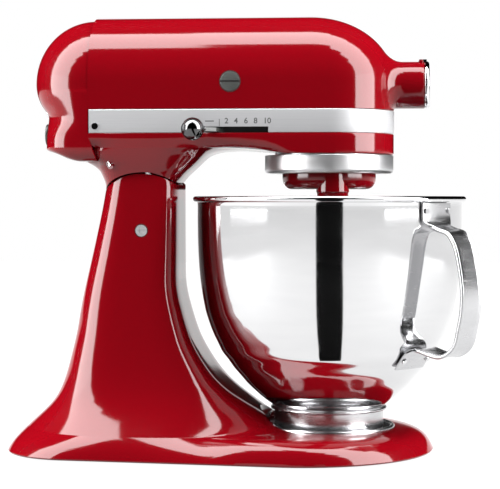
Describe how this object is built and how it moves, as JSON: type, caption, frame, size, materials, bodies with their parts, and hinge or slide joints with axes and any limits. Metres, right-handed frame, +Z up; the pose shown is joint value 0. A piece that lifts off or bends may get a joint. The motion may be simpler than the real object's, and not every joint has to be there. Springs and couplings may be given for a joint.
{
  "type": "stand mixer",
  "caption": "Stand mixer with a tilting head, planetary flat beater, bayonet bowl with a side handle, speed lever and a hinged accessory hub.",
  "frame": {"origin": "on the table, directly below the centre of the bowl and of the planetary", "axes": "+X towards the nose and the accessory hub, +Y away from the speed lever, +Z up"},
  "size_m": [0.3785, 0.2222, 0.353],
  "materials": {
    "red_enamel": "glossy deep red enamel",
    "polished_steel": "mirror-polished stainless steel",
    "brushed_band": "satin bright metal, brushed lengthwise",
    "brushed_ring": "turned and polished bright metal",
    "chrome": "bright chrome",
    "dark_plastic": "dark moulded plastic",
    "rubber": "moulded rubber",
    "white_enamel": "white coated casting",
    "steel": "machined steel",
    "bronze": "machined bronze",
    "copper": "varnished copper wire",
    "carbon": "pressed carbon",
    "fan_plastic": "moulded fan plastic",
    "board": "phenolic board",
    "cast_aluminium": "die-cast aluminium"
  },
  "bodies": {
    "stand": {"base": "red_enamel", "pedestal": "red_enamel", "rubber_feet": "rubber", "base_screws": "steel", "bowl_clamp_plate": "polished_steel", "clamp_plate_screws": "chrome", "hinge_pin": "chrome"},
    "head": {"head_upper_housing": "red_enamel", "head_lower_housing": "red_enamel", "rear_cover": "red_enamel", "rear_cover_screw": "chrome", "trim_band": "brushed_band", "band_screws": "chrome", "brush_caps": "dark_plastic", "brush_holders": "bronze", "carbon_brushes": "carbon", "cord_grommet": "dark_plastic", "neck_screws": "chrome", "drip_ring": "brushed_ring", "hub_sleeve": "chrome", "hub_cap_pin": "chrome", "speed_pivot": "steel", "control_board": "board", "motor_stator": "steel", "motor_windings": "copper", "motor_bearings": "bronze", "motor_brackets": "cast_aluminium", "gearcase_plate": "cast_aluminium", "shaft_bushing": "bronze", "ring_gear": "steel"},
    "lock": {"lock_lever": "chrome", "lock_lever_knob": "dark_plastic"},
    "hub_cover": {"hub_cap": "chrome"},
    "side_knob": {"attachment_knob": "dark_plastic"},
    "speed_control": {"speed_lever": "chrome", "speed_knob": "chrome"},
    "motor": {"motor_armature": "steel", "motor_fan": "fan_plastic", "motor_worm": "steel"},
    "wheel": {"worm_wheel": "bronze", "gear_pinion": "steel"},
    "hub_output": {"hub_drive": "steel"},
    "planetary": {"center_shaft": "steel", "center_gear": "steel", "planetary_hub": "red_enamel"},
    "agitator": {"agitator_shaft": "steel", "agitator_pinion": "steel", "agitator_spring": "steel", "flat_beater": "white_enamel"},
    "mixing_bowl": {"bowl": "polished_steel", "bowl_foot": "polished_steel", "bowl_handle": "polished_steel", "handle_rivets": "polished_steel"}
  },
  "joints": [
    {"name": "head_tilt", "type": "hinge", "parent": "stand", "child": "head", "pos_m": [-0.148, 0, 0.18], "axis": [0, -1, 0], "range_deg": [0, 50]},
    {"name": "lock_swing", "type": "hinge", "parent": "stand", "child": "lock", "pos_m": [-0.14, 0, 0.148], "axis": [0, 1, 0], "range_deg": [0, 35]},
    {"name": "bowl_turn", "type": "hinge", "parent": "stand", "child": "mixing_bowl", "pos_m": [0, 0, 0.02], "axis": [0, 0, 1], "range_deg": [0, 25]},
    {"name": "cap_swing", "type": "hinge", "parent": "head", "child": "hub_cover", "pos_m": [0.0744, 0, 0.317], "axis": [0, -1, 0], "range_deg": [0, 100]},
    {"name": "side_knob_spin", "type": "hinge", "parent": "head", "child": "side_knob", "pos_m": [0.065, 0, 0.2975], "axis": [0, 1, 0], "continuous": true},
    {"name": "speed_swing", "type": "hinge", "parent": "head", "child": "speed_control", "pos_m": [-0.07, 0.015, 0.26], "axis": [0, 0, 1], "range_deg": [0, 30]},
    {"name": "planetary_spin", "type": "hinge", "parent": "head", "child": "planetary", "pos_m": [0, 0, 0.23], "axis": [0, 0, 1], "continuous": true},
    {"name": "agitator_spin", "type": "hinge", "parent": "planetary", "child": "agitator", "pos_m": [0.00382, -0.02167, 0.21], "axis": [0, 0, 1], "continuous": true},
    {"name": "wheel_spin", "type": "hinge", "parent": "head", "child": "wheel", "pos_m": [-0.04221, 0.0268, 0.27], "axis": [0, 0, 1], "continuous": true},
    {"name": "motor_spin", "type": "hinge", "parent": "head", "child": "motor", "pos_m": [-0.12, 0, 0.298], "axis": [1, 0, 0], "continuous": true},
    {"name": "hub_output_spin", "type": "hinge", "parent": "head", "child": "hub_output", "pos_m": [0.03, 0, 0.2975], "axis": [1, 0, 0], "continuous": true}
  ],
  "couplings": [
    {"joint": "agitator_spin", "follows": "planetary_spin", "ratio": -3},
    {"joint": "wheel_spin", "follows": "planetary_spin", "ratio": -3},
    {"joint": "motor_spin", "follows": "planetary_spin", "ratio": 36},
    {"joint": "hub_output_spin", "follows": "planetary_spin", "ratio": 2.1429}
  ]
}
